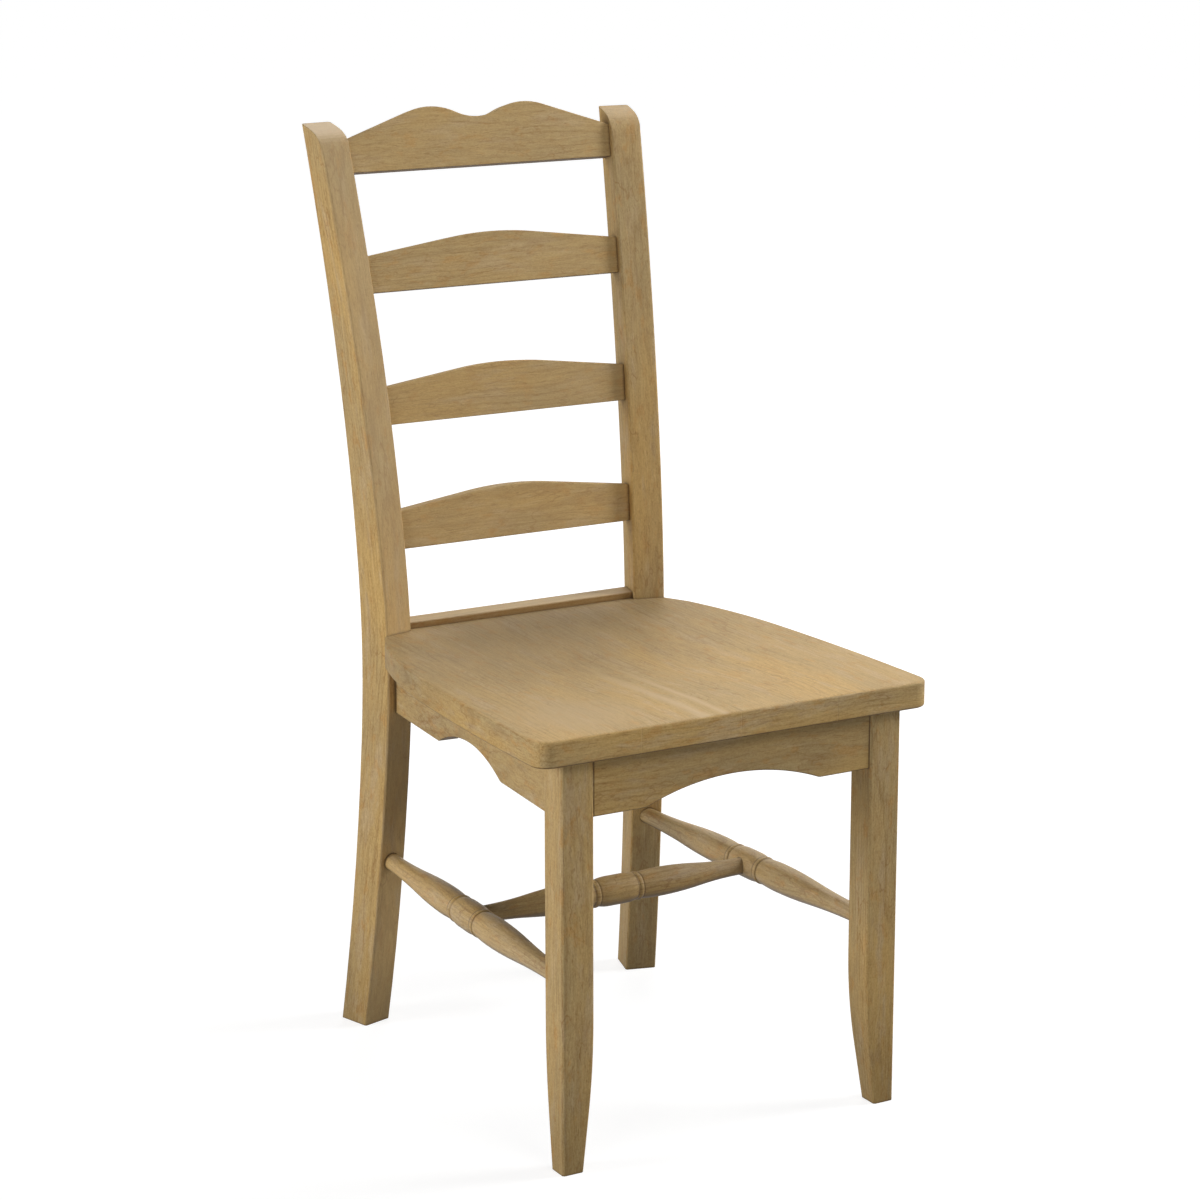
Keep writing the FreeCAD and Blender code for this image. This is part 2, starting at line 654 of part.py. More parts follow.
def corner_block(inner_corner, front_line, side_line):
    """A glued block across a corner of the frame.

    inner_corner is the leg's or post's corner that it clears, and each line is a point on the
    inner face of a rail and the direction along that face, away from the corner.
    """
    diagonal = (front_line[1] + side_line[1]).normalize()
    near = inner_corner + diagonal * BLOCK_CLEARANCE
    far = near + diagonal * BLOCK_WIDTH
    slant = V(-diagonal.y, diagonal.x, 0)
    corners = []
    for point in (near, far):
        for line in (front_line, side_line):
            corners.append(crossing(point, slant, line[0], line[1]))
    outline = [corners[0], corners[1], corners[3], corners[2]]
    block = prism(outline, BLOCK_HEIGHT)
    block.translate(UP * (UNDERSIDE - BLOCK_HEIGHT))
    return block, (corners[0] + corners[2]) * 0.5, (corners[1] + corners[3]) * 0.5, (near + far) * 0.5


def crossing(point, direction, other, heading):
    """Where two level lines cross."""
    gap = other - point
    spin = direction.x * heading.y - direction.y * heading.x
    along = (gap.x * heading.y - gap.y * heading.x) / spin
    return V(point.x + direction.x * along, point.y + direction.y * along, 0)


def screw(seat, direction, length):
    """A screw whose head bears on a seat, with the hole that it needs."""
    shank = rod(seat, seat + direction * length, SCREW_RADIUS)
    head = rod(seat - direction * SCREW_HEAD_HEIGHT, seat, SCREW_HEAD_RADIUS)
    hole = rod(seat - direction, seat + direction * (length + END_GAP), SCREW_RADIUS + FIT_GAP)
    access = rod(seat - direction * LEG_SIZE, seat, SCREW_HEAD_RADIUS + FIT_GAP)
    return head.fuse(shank).removeSplitter(), hole.fuse(access)


def block_with_screws(inner_corner, front_line, side_line):
    """A corner block, its screws into the two rails and up into the seat, and all their holes."""
    block, at_front, at_side, middle = corner_block(inner_corner, front_line, side_line)
    height = UNDERSIDE - BLOCK_HEIGHT / 2
    rail_screws = []
    holes = []
    for point, line in ((at_front, front_line), (at_side, side_line)):
        outwards = V(line[1].y, -line[1].x, 0)
        if (point - middle).dot(outwards) < 0:
            outwards = outwards * -1
        seat = V(point.x, point.y, height) - outwards * SCREW_LAND
        made, hole = screw(seat, outwards, SCREW_LAND + SCREW_BITE)
        rail_screws.append(made)
        holes.append(hole)
    under = V(middle.x, middle.y, UNDERSIDE - BLOCK_HEIGHT + SCREW_HEAD_HEIGHT + SCREW_LAND)
    seat_screw, seat_hole = screw(under, UP, UNDERSIDE - under.z + SCREW_BITE)
    holes.append(seat_hole)
    for hole in holes:
        block = block.cut(hole)
    return block, rail_screws, seat_screw, holes


RIGHT_BLANK = post_blank()
LEFT_BLANK = mirrored(RIGHT_BLANK)
RIGHT_LEG_BLANK = leg_blank()


def frame_corner_lines():
    """The inner faces of the rails at the right front and right rear corners of the frame."""
    place, length = side_apron_place()
    heading = place.Rotation.multVec(V(1, 0, 0))
    inner = place.multVec(V(0, APRON_THICK, 0))
    side_point = V(inner.x, inner.y, 0)
    side_direction = V(heading.x, heading.y, 0)
    front_inner = V(LEG_INNER, FRONT_APRON_INSET + APRON_THICK, 0)
    front = (V(LEG_INNER, LEG_SIZE, 0), (front_inner, V(-1, 0, 0)), (side_point, side_direction))
    post_corner = post_front_face(UNDERSIDE) - post_across(UNDERSIDE) * (POST_WIDTH / 2)
    rear_inner = V(post_corner.x, REAR_RAIL_FRONT, 0)
    rear = (V(post_corner.x, post_corner.y, 0), (rear_inner, V(-1, 0, 0)), (side_point, side_direction * -1))
    return front, rear


def main():
    nodes = {}
    mortises = []

    slats = {
        "lower_back_slat": LOWER_SLAT_SHARE,
        "middle_back_slat": MIDDLE_SLAT_SHARE,
        "upper_back_slat": UPPER_SLAT_SHARE,
    }
    for name, share in slats.items():
        level = SEAT_HEIGHT + share * (CREST_LEVEL - SEAT_HEIGHT)
        nodes[name], mortise = back_board(slat_outline, level, SLAT_HEIGHT)
        mortises.append(mortise)
    nodes["crest_rail"], mortise = back_board(crest_outline, CREST_LEVEL, CREST_DIP_HEIGHT)
    mortises.append(mortise)

    side_rail = side_stretcher()
    front_end, back_end = side_stretcher_ends()
    along_side = (back_end - front_end).normalize()
    post_bore = side_stretcher_bore(back_end, along_side)
    leg_bore = side_stretcher_bore(front_end, along_side * -1)
    side_rail = side_rail.cut(cross_stretcher_bore())

    start, end = side_apron_line()
    apron_direction = (end - start).normalize()
    inward = V(-apron_direction.y, apron_direction.x, 0) * (APRON_THICK / 2)
    leg_joint = start + inward
    post_joint = end + inward
    front_joint = V(LEG_INNER, FRONT_APRON_INSET + APRON_THICK / 2, 0)
    rear_height = APRON_BOTTOM + APRON_HEIGHT / 2
    rear_joint = V(post_inner_face(rear_height).x, REAR_RAIL_FRONT + REAR_RAIL_THICK / 2, 0)
    front_pegs, front_holes = dowels(front_joint, V(1, 0, 0), DOWEL_LEVELS_ACROSS)
    leg_pegs, leg_holes = dowels(leg_joint, apron_direction, DOWEL_LEVELS_ALONG)
    post_pegs, post_holes = dowels(post_joint, apron_direction, DOWEL_LEVELS_ALONG)
    rear_pegs, rear_holes = dowels(rear_joint, V(1, 0, 0), DOWEL_LEVELS_ACROSS)

    front_corner, rear_corner = frame_corner_lines()
    front_block, front_screws, front_seat_screw, front_block_holes = block_with_screws(*front_corner)
    rear_block, rear_screws, rear_seat_screw, rear_block_holes = block_with_screws(*rear_corner)

    post = RIGHT_BLANK.cut(post_crown_cut())
    for tool in mortises + post_holes + rear_holes + [post_bore]:
        post = post.cut(tool)
    leg = RIGHT_LEG_BLANK
    for tool in front_holes + leg_holes + [leg_bore]:
        leg = leg.cut(tool)
    right_apron = side_apron()
    for tool in leg_holes + post_holes + front_block_holes + rear_block_holes:
        right_apron = right_apron.cut(tool)
    apron = front_apron()
    rear = rear_rail()
    panel = seat_panel()
    for tool in front_holes + front_block_holes:
        apron = apron.cut(tool).cut(mirrored(tool))
    for tool in rear_holes + rear_block_holes:
        rear = rear.cut(tool).cut(mirrored(tool))
    for tool in front_block_holes + rear_block_holes:
        panel = panel.cut(tool).cut(mirrored(tool))

    pairs = {
        "rear_post": post,
        "front_leg": leg,
        "side_apron": right_apron,
        "side_stretcher": side_rail,
        "front_corner_block": front_block,
        "rear_corner_block": rear_block,
    }
    for name, piece in pairs.items():
        nodes[name + "_right"] = piece
        nodes[name + "_left"] = mirrored(piece)
    nodes["front_apron"] = apron
    nodes["rear_seat_rail"] = rear
    nodes["cross_stretcher"] = cross_stretcher()
    nodes.update(seat_boards(panel))

    groups = {
        "front_apron_dowels": front_pegs,
        "side_apron_dowels": leg_pegs + post_pegs,
        "rear_rail_dowels": rear_pegs,
        "corner_block_screws": front_screws + rear_screws,
        "seat_screws": [front_seat_screw, rear_seat_screw],
    }
    for name, pieces in groups.items():
        nodes[name] = Part.makeCompound(pieces + [mirrored(piece) for piece in pieces])

    whole = FreeCAD.BoundBox()
    for shape in nodes.values():
        whole.add(shape.optimalBoundingBox(True, False))
    middle = V(0, -(whole.YMin + whole.YMax) / 2, 0)
    os.makedirs("parts", exist_ok=True)
    for name, shape in nodes.items():
        moved = shape.copy()
        moved.translate(middle)
        moved.exportStep("parts/" + name + ".step")
        print(name, len(moved.Solids), "valid" if moved.isValid() else "NOT VALID", round(moved.Volume))
    print("size", round(whole.XLength, 1), round(whole.YLength, 1), round(whole.ZLength, 1))
    print("front of the legs lies at Y", round(middle.y, 2))


main()
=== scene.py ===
"""A wooden ladder-back dining chair in a plain white studio, seen as it is photographed."""
import bpy
import math
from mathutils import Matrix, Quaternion, Vector


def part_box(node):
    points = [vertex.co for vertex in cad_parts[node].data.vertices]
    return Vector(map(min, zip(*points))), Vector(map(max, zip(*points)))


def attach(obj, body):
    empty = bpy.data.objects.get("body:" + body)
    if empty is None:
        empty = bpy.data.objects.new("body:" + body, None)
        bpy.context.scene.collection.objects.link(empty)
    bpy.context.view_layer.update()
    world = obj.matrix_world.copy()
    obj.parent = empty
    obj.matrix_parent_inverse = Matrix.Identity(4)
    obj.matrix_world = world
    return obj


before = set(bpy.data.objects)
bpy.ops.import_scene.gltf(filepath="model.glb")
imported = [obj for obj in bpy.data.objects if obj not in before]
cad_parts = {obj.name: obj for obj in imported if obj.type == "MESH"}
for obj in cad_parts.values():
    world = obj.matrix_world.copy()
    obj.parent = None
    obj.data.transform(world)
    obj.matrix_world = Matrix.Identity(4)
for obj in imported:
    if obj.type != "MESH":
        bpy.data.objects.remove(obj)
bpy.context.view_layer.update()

# Camera, in metres, degrees and millimetres of lens
CAMERA_PLACE = (-1.7147, -2.9928, 1.3684)
CAMERA_HEADING = 29.85
CAMERA_DIP = 14.0
CAMERA_ROLL = -0.07
CAMERA_LENS = 100.76
CAMERA_SENSOR = 36.0
CAMERA_NEAR = 0.1
CAMERA_FAR = 60.0

# Lamps: place, diameter in metres and power in watts, all aimed at one point
LAMPS = (
    ("overhead", (-0.2, 0.0, 3.8), 2.2, 14.0),
    ("behind", (1.6, 2.4, 3.6), 1.8, 39.0),
    ("front", (0.2, -3.0, 3.2), 1.8, 28.0),
    ("right", (3.2, -1.0, 2.2), 1.6, 101.0),
    ("left", (-3.4, 0.7, 1.2), 1.4, 65.0),
    ("low", (-3.0, -2.0, 0.6), 1.4, 26.0),
)
LAMP_AIM = (0.0, 0.0, 0.5)

# Floor: its half width, its greys, its own light for the seen rays, and where that light rises to full white
FLOOR_HALF = 40.0
FLOOR_GREYS = (0.34, 0.36)
FLOOR_GREY_SCALE = 3.0
FLOOR_GLOW = 0.80
FLOOR_FADE = (0.5, 2.0)

# Bend of the rear posts, which their grain follows
KNEE_HEIGHT = 0.432
POST_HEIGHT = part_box("rear_post_left")[1][2]
FOOT_KICK = 0.041
FOOT_SPLAY = 0.0142
TOP_LEAN = 0.0915
TOP_SPLAY = 0.0192
KICK_POWER = 1.8
LEAN_POWER = 1.6

# Colours, linear
WHITE = (1.0, 1.0, 1.0, 1.0)
TAN = (0.505, 0.342, 0.144)
OLIVE = (0.445, 0.318, 0.147)
HONEY = (0.545, 0.350, 0.125)
BROWN = (0.240, 0.122, 0.038)
RUSSET = (0.300, 0.150, 0.045)
PALE = (0.600, 0.455, 0.265)
# For dust patches, the seat's paler top, and a painted sheen on front faces
ASH = (0.520, 0.380, 0.212)
AMBER = (0.500, 0.275, 0.085)
EVEN = (0.470, 0.320, 0.143)
# For painted highlights on the posts' crowns and the rear rail's top
CREAM = (0.780, 0.610, 0.410)
# Dark brown for painted shade: in creases, at the apron's ends, in the stretchers' grooves and on faces that
# look down
PAINTED_SHADE = (0.090, 0.054, 0.026)
ZINC_DARK = (0.42, 0.42, 0.43)
ZINC_LIGHT = (0.62, 0.61, 0.58)

# Ways in which the grain wanders: scale along it, scale across it, and how far it is pushed across, in metres
WAVE = (2.2, 12.0, 0.055)
RIPPLE = (11.0, 55.0, 0.007)
CURL = (70.0, 150.0, 0.0035)
SWAY = 0.5                       # share of the wave that the finer noises follow
SEED_STEP = (1.7, 2.3, 3.1)
NOISE_MIDDLE = 0.5

# Noises in the wood: the way they wander, their scales along and across the grain, their detail and roughness
NOISES = {
    "mottle": ("still", 9.0, 30.0, 4.0, 0.65),
    "cloud": ("still", 3.0, 11.0, 2.0, 0.50),
    "figure": ("still", 16.0, 42.0, 3.0, 0.55),
    "speck": ("still", 420.0, 620.0, 2.0, 0.60),
    "dust": ("swaying", 14.0, 60.0, 4.0, 0.60),
    "resin": ("swaying", 40.0, 95.0, 3.0, 0.60),
    "fibre": ("flowing", 30.0, 520.0, 4.0, 0.75),
    "strand": ("flowing", 12.0, 240.0, 3.0, 0.70),
    "pore": ("flowing", 70.0, 700.0, 2.0, 0.60),
    "fleck": ("flowing", 40.0, 160.0, 3.0, 0.60),
}

# Values of the noises at which a patch starts and is full
PATCHES = {
    "mottle": (0.36, 0.66),
    "warmth": (0.46, 0.68),
    "dust": (0.50, 0.68),
    "resin": (0.54, 0.69),
    "fleck": (0.62, 0.80),
    "pore": (0.56, 0.70),
    "strand": (0.58, 0.76),
}
WARMTH_REACH = 0.25              # how far a warm board's cloud is raised

# Colours laid over TAN one after the other: what shows each, its share and the colour
LAYERS = (
    ("mottle", 1.00, OLIVE),
    ("warmth", 1.00, HONEY),
    ("dust", 0.64, ASH),
    ("resin", 0.60, AMBER),
    ("ring", 0.30, BROWN),
    ("outline", 0.50, RUSSET),
    ("fleck", 0.30, BROWN),
    ("pore", 0.36, BROWN),
    ("strand", 0.30, PALE),
)

# How far each noise lightens and darkens the wood, and how far red, green and blue follow
LIGHTNESS = {"fibre": 0.95, "strand": 0.20, "cloud": 0.16, "speck": 0.60}
LIGHTNESS_BY_CHANNEL = (0.75, 1.0, 1.30)

# The tree's yearly rings: their distance, how narrow their dark part is, and the mottle that lets them show
RING_STEP = 0.0062
RING_SHARPNESS = 5.0
RING_MOTTLE = (0.34, 0.60)

# Distances of a board from the tree's pith, sideways and in depth, and how fast they change with the seed
PITH_SIDE = 0.05
PITH_DEPTH = 0.045
PITH_DEPTH_RANGE = 0.03
PITH_SIDE_TURN = 5
PITH_DEPTH_TURN = 3

# Thin dark outlines round the figure: the value they follow, how they fade and the mottle that lets them show
OUTLINE_LEVEL = 0.52
OUTLINE_WIDTH = (0.018, 0.002)
OUTLINE_MOTTLE = (0.46, 0.60)

# Relief and gloss of the wood
PORE_RELIEF = (0.52, 0.72)
PORE_DEPTH = 0.5
RING_RELIEF = 0.35
BUMP_STRENGTH = 0.30
BUMP_DISTANCE = 0.0006
ROUGHNESS = 0.52
FIBRE_ROUGHNESS = 0.22
SPECULAR = 0.20
TURNED_SPECULAR = 0.45
SIDE_STRETCHER_POLISH = 0.14

# Worn arrises, partly wear and partly a painted highlight on the edges: their rounding, the turn of the
# surface and the noise that show them, and their share
ARRIS_RADIUS = 0.0016
ARRIS_SAMPLES = 4
ARRIS_TURN = (0.01, 0.20)
WEAR_AND_HIGHLIGHT_NOISE = ((30.0, 60.0, 60.0), 3.0, 0.6)
WEAR_AND_HIGHLIGHT_PATCH = (0.38, 0.66)
WEAR_AND_HIGHLIGHT_SHARE = 0.30

# Painted shade in creases and where parts meet: how near another surface darkens it, the openness at which it
# starts and is full, and its share
CREASE_SHADE_REACH = 0.005
CREASE_SHADE_SAMPLES = 8
CREASE_SHADE_OPENNESS = (0.85, 0.40)
CREASE_SHADE_SHARE = 0.48
# Painted shade on faces that look down: the facing at which it starts and is full, and its share
UNDERSIDE_FACING = (-0.25, -0.75)
UNDERSIDE_SHADE = 0.86
# Darker towards the feet: the height where it starts, and how far it darkens at the floor
FOOT_DARK_HEIGHT = 0.15
FOOT_DARKENING = 0.27

# Painted shadow lines where the front apron meets the legs
APRON_JOINT_SHADOW = (0.0024, 0.0009)
APRON_JOINT_SHADOW_SHARE = 0.70

# Directions of the faces that a paint is for: where it starts and where it is full
FRONTWARD = (-0.5, -0.9)
UPWARD = (0.5, 0.9)
CROWNWARD = (0.35, 0.95)

# Painted light and shade on the faces of a node that look one way: the axis, the limits on it, the share and
# the colour
# Painted highlights on the crowns and the rail's top, a painted sheen on front faces, painted shade on the
# rail's front
FACING_LIGHT_AND_SHADE = {
    "rear_post_left": (("Z", CROWNWARD, 0.75, CREAM), ("Y", FRONTWARD, 0.40, ASH)),
    "rear_post_right": (("Z", CROWNWARD, 0.30, CREAM), ("Y", FRONTWARD, 0.12, ASH)),
    "middle_back_slat": (("Y", FRONTWARD, 0.12, ASH),),
    "lower_back_slat": (("Y", FRONTWARD, 0.10, ASH),),
    "rear_seat_rail": (("Z", UPWARD, 0.40, CREAM), ("Y", FRONTWARD, 0.60, BROWN)),
}

# The seat has a painted shadow of the chair's back, a darker soft patch at its back: the patch's middle, its
# half lengths and its turn
SEAT_SHADOW_PLACE = (0.008, 0.147, 0.0)
SEAT_SHADOW_REACH = (0.321, 0.196, 1.0)
SEAT_SHADOW_TURN = 0.644
# The patch's depth, the seat's painted brightness outside it, and painted shade on the seat's faces that do
# not look up
SEAT_SHADOW_DEPTH = 0.60
SEAT_TONE = 1.235
SEAT_SIDE_FACING = (0.85, 0.35)
SEAT_SIDE_SHADE = 0.16
SEAT_LIP_FACING = -0.7           # below this the grain runs across, on the seat's front edge

# The seat's upward faces are paler all over, and more at its left front corner
SEAT_TOP_PALING = 0.30
SEAT_CORNER_PLACE = (-0.150, -0.215, 0.457)
SEAT_CORNER_REACH = (0.09, 0.02)
SEAT_CORNER_PALING = 0.40

# Pale lines along the seat's ridge, partly its figure and partly a painted highlight on the ridge: places
# across it and half widths, and where they start and are full
SEAT_LINES = ((-0.018, 0.0035), (-0.041, 0.0060))
SEAT_LINE_RUN = (0.00, -0.21)
SEAT_LINE_SHARE = 0.72

# Rings turned on each stretcher beside its middle bulb, and painted shade of a groove beside each
RING_OUT = 0.0265
RING_HALF_WIDTH = 0.0026
RING_ROOT = 0.0140
RING_RADIUS = 0.0156
RING_SIDES = 64
RING_STEPS = 8
GROOVE_OUT = 0.0036
GROOVE_WIDTH = (0.0014, 0.0003)
GROOVE_SHADE_SHARE = 0.45
END_RIM = 0.002                  # how near a stretcher's end a point counts as part of it

# Screws: the noises of their bloom and scratches, each with its scales, detail and roughness
BLOOM_NOISE = ((300.0, 300.0, 300.0), 3.0, 0.5)
SCRATCH_NOISE = ((2200.0, 900.0, 2200.0), 3.0, 0.7)
STEEL_ROUGHNESS = 0.22
SCRATCH_ROUGHNESS = 0.3
SCRATCH_STRENGTH = 0.2
SCRATCH_DISTANCE = 0.0002

# How each node is cut from the tree: the axis of its grain, a seed, its warmth, tone and evenness
# Tones are partly each node's own variation and partly painted light and shade: higher on the crest and back
# slats, lower on the aprons and the cross stretcher under the seat
WOOD = {
    "rear_post_right": ("z", 1.3, 0.0, 1.03, 0.00),
    "rear_post_left": ("z", 2.1, 0.3, 1.03, 0.00),
    "front_leg_right": ("z", 3.7, 0.0, 1.00, 0.00),
    "front_leg_left": ("z", 4.4, 0.2, 1.03, 0.00),
    "lower_back_slat": ("x", 5.2, 0.0, 1.07, 0.32),
    "middle_back_slat": ("x", 6.8, 0.1, 1.01, 0.32),
    "upper_back_slat": ("x", 7.5, 0.0, 1.06, 0.32),
    "crest_rail": ("x", 8.9, 0.0, 1.05, 0.30),
    "seat_board_left": ("y", 9.6, 0.0, 1.00, 0.00),
    "seat_board_centre_left": ("y", 9.6, 0.0, 1.00, 0.00),
    "seat_board_centre_right": ("y", 9.6, 0.0, 0.985, 0.00),
    "seat_board_right": ("y", 9.6, 0.0, 0.965, 0.00),
    "front_apron": ("x", 13.1, 0.0, 0.95, 0.15),
    "side_apron_right": ("y", 14.6, 0.0, 0.93, 0.00),
    "side_apron_left": ("y", 15.3, 0.0, 0.93, 0.00),
    "rear_seat_rail": ("x", 16.8, 0.0, 1.00, 0.00),
    "side_stretcher_right": ("y", 17.4, 0.0, 1.00, 0.00),
    "side_stretcher_left": ("y", 18.9, 0.0, 1.00, 0.00),
    "cross_stretcher": ("x", 19.5, 0.0, 0.86, 0.00),
    "front_corner_block_right": ("x", 20.2, 0.0, 1.00, 0.00),
    "front_corner_block_left": ("x", 21.6, 0.0, 1.00, 0.00),
    "rear_corner_block_right": ("x", 22.3, 0.0, 1.00, 0.00),
    "rear_corner_block_left": ("x", 23.8, 0.0, 1.00, 0.00),
    "front_apron_dowels": ("x", 24.1, 0.0, 1.00, 0.00),
    "side_apron_dowels": ("y", 25.7, 0.0, 1.00, 0.00),
    "rear_rail_dowels": ("x", 26.4, 0.0, 1.00, 0.00),
}
STRETCHERS = ("side_stretcher_right", "side_stretcher_left", "cross_stretcher")
SCREWS = ("corner_block_screws", "seat_screws")


class Tree:
    """Short ways to add nodes to a node tree. A socket or a plain value may feed any input."""

    def __init__(self, tree):
        self.nodes = tree.nodes
        self.links = tree.links

    def feed(self, socket, value):
        if isinstance(value, bpy.types.NodeSocket):
            self.links.new(value, socket)
        else:
            socket.default_value = value

    def add(self, kind, inputs=None, **settings):
        node = self.nodes.new("ShaderNode" + kind)
        for name, value in settings.items():
            setattr(node, name, value)
        for key, value in (inputs or {}).items():
            self.feed(node.inputs[key], value)
        return node

    def maths(self, operation, *values):
        node = self.add("Math", operation=operation)
        for socket, value in zip(node.inputs, values):
            self.feed(socket, value)
        return node.outputs[0]

    def vector(self, operation, *values):
        node = self.add("VectorMath", operation=operation)
        for socket, value in zip(node.inputs, values):
            self.feed(socket, value)
        return node.outputs["Value" if operation in ("LENGTH", "DOT_PRODUCT") else "Vector"]

    def scaled(self, vector, factor):
        return self.add("VectorMath", {0: vector, "Scale": factor}, operation="SCALE").outputs["Vector"]

    def split(self, vector):
        return self.add("SeparateXYZ", {"Vector": vector}).outputs

    def place(self):
        return self.add("TexCoord").outputs["Object"]

    def facing(self):
        return self.add("NewGeometry").outputs["True Normal"]

    def noise(self, place, scales, detail=2.0, roughness=0.5):
        stretched = self.vector("MULTIPLY", place, scales)
        inputs = {"Vector": stretched, "Scale": 1.0, "Detail": detail, "Roughness": roughness}
        return self.add("TexNoise", inputs).outputs

    def ramp(self, value, low, high):
        """A smooth step from 0 where the value is low to 1 where it is high."""
        inputs = {"Value": value, "From Min": low, "From Max": high}
        return self.add("MapRange", inputs, interpolation_type="SMOOTHSTEP").outputs["Result"]

    def blend(self, share, first, second):
        node = self.add("Mix", {0: share}, data_type="RGBA")
        for socket, value in ((node.inputs[6], first), (node.inputs[7], second)):
            self.feed(socket, value if isinstance(value, bpy.types.NodeSocket) else (*value, 1.0))
        return node.outputs[2]

    def coat(self, amount, share, first, second):
        """The second colour over the first, by a share of an amount."""
        return self.blend(self.maths("MULTIPLY", amount, share), first, second)


def blank_material(name):
    """A new material and its empty node tree."""
    material = bpy.data.materials.new(name)
    material.use_nodes = True
    material.node_tree.nodes.clear()
    return material, Tree(material.node_tree)


def grain_group():
    """The wood's pattern from a place in its board, whose X runs along the grain."""
    group = bpy.data.node_groups.new("wood_grain", "ShaderNodeTree")
    sockets = (
        ("Place", "INPUT", "NodeSocketVector"),
        ("Pith", "INPUT", "NodeSocketVector"),
        ("Seed", "INPUT", "NodeSocketFloat"),
        ("Warmth", "INPUT", "NodeSocketFloat"),
        ("Evenness", "INPUT", "NodeSocketFloat"),
        ("Color", "OUTPUT", "NodeSocketColor"),
        ("Roughness", "OUTPUT", "NodeSocketFloat"),
        ("Height", "OUTPUT", "NodeSocketFloat"),
    )
    for name, side, kind in sockets:
        group.interface.new_socket(name=name, in_out=side, socket_type=kind)
    tree = Tree(group)
    given = group.nodes.new("NodeGroupInput").outputs
    still = tree.vector("ADD", given["Place"], tree.vector("MULTIPLY", SEED_STEP, given["Seed"]))

    def push(along, across, reach):
        """A push across the grain that varies with the place."""
        noise = tree.noise(still, (along, across, across))["Color"]
        off_middle = tree.vector("SUBTRACT", noise, (NOISE_MIDDLE,) * 3)
        return tree.vector("MULTIPLY", off_middle, (0.0, reach, reach))

    wave = push(*WAVE)
    ripple = push(*RIPPLE)
    swayed = tree.vector("ADD", still, tree.vector("MULTIPLY", wave, (SWAY,) * 3))
    swaying = tree.vector("ADD", swayed, ripple)
    ways = {"still": still, "swaying": swaying, "flowing": tree.vector("ADD", swaying, push(*CURL))}
    noises = {}
    for name, (way, along, across, detail, roughness) in NOISES.items():
        noises[name] = tree.noise(ways[way], (along, across, across), detail, roughness)["Fac"]
    warmth = tree.maths("MULTIPLY", given["Warmth"], WARMTH_REACH)
    noises["warmth"] = tree.maths("ADD", noises["cloud"], warmth)
    shown = {name: tree.ramp(noises[name], *limits) for name, limits in PATCHES.items()}

    bent = tree.vector("ADD", tree.vector("ADD", given["Place"], wave), ripple)
    from_pith = tree.vector("SUBTRACT", bent, given["Pith"])
    radius = tree.vector("LENGTH", tree.vector("MULTIPLY", from_pith, (0.0, 1.0, 1.0)))
    turn = tree.maths("SINE", tree.maths("MULTIPLY", radius, 2 * math.pi / RING_STEP))
    ring = tree.maths("POWER", tree.maths("MULTIPLY_ADD", turn, 0.5, 0.5), RING_SHARPNESS)
    shown["ring"] = tree.maths("MULTIPLY", ring, tree.ramp(noises["mottle"], *RING_MOTTLE))
    off_level = tree.maths("ABSOLUTE", tree.maths("SUBTRACT", noises["figure"], OUTLINE_LEVEL))
    outline = tree.ramp(off_level, *OUTLINE_WIDTH)
    shown["outline"] = tree.maths("MULTIPLY", outline, tree.ramp(noises["mottle"], *OUTLINE_MOTTLE))

    colour = TAN
    for name, share, paint in LAYERS:
        colour = tree.coat(shown[name], share, colour, paint)
    lightness = 0.0
    for name, size in LIGHTNESS.items():
        off_middle = tree.maths("SUBTRACT", noises[name], NOISE_MIDDLE)
        lightness = tree.maths("MULTIPLY_ADD", off_middle, size, lightness)
    gain = tree.vector("MULTIPLY_ADD", lightness, LIGHTNESS_BY_CHANNEL, (1.0, 1.0, 1.0))
    colour = tree.blend(given["Evenness"], tree.vector("MULTIPLY", colour, gain), EVEN)

    out = group.nodes.new("NodeGroupOutput").inputs
    tree.feed(out["Color"], colour)
    tree.feed(out["Roughness"], tree.maths("MULTIPLY_ADD", noises["fibre"], FIBRE_ROUGHNESS, ROUGHNESS))
    pores = tree.maths("MULTIPLY", tree.ramp(noises["pore"], *PORE_RELIEF), PORE_DEPTH)
    height = tree.maths("SUBTRACT", noises["fibre"], pores)
    tree.feed(out["Height"], tree.maths("MULTIPLY_ADD", shown["ring"], RING_RELIEF, height))
    return group


def post_bend(tree, height, low_size, high_size):
    """How far a post has bent away from its knee at a height."""
    depth = tree.maths("DIVIDE", tree.maths("SUBTRACT", KNEE_HEIGHT, height), KNEE_HEIGHT)
    rise = tree.maths("DIVIDE", tree.maths("SUBTRACT", height, KNEE_HEIGHT), POST_HEIGHT - KNEE_HEIGHT)
    low = tree.maths("POWER", tree.maths("MAXIMUM", depth, 0.0), KICK_POWER)
    high = tree.maths("POWER", tree.maths("MAXIMUM", rise, 0.0), LEAN_POWER)
    return tree.maths("MULTIPLY_ADD", high, high_size, tree.maths("MULTIPLY", low, low_size))


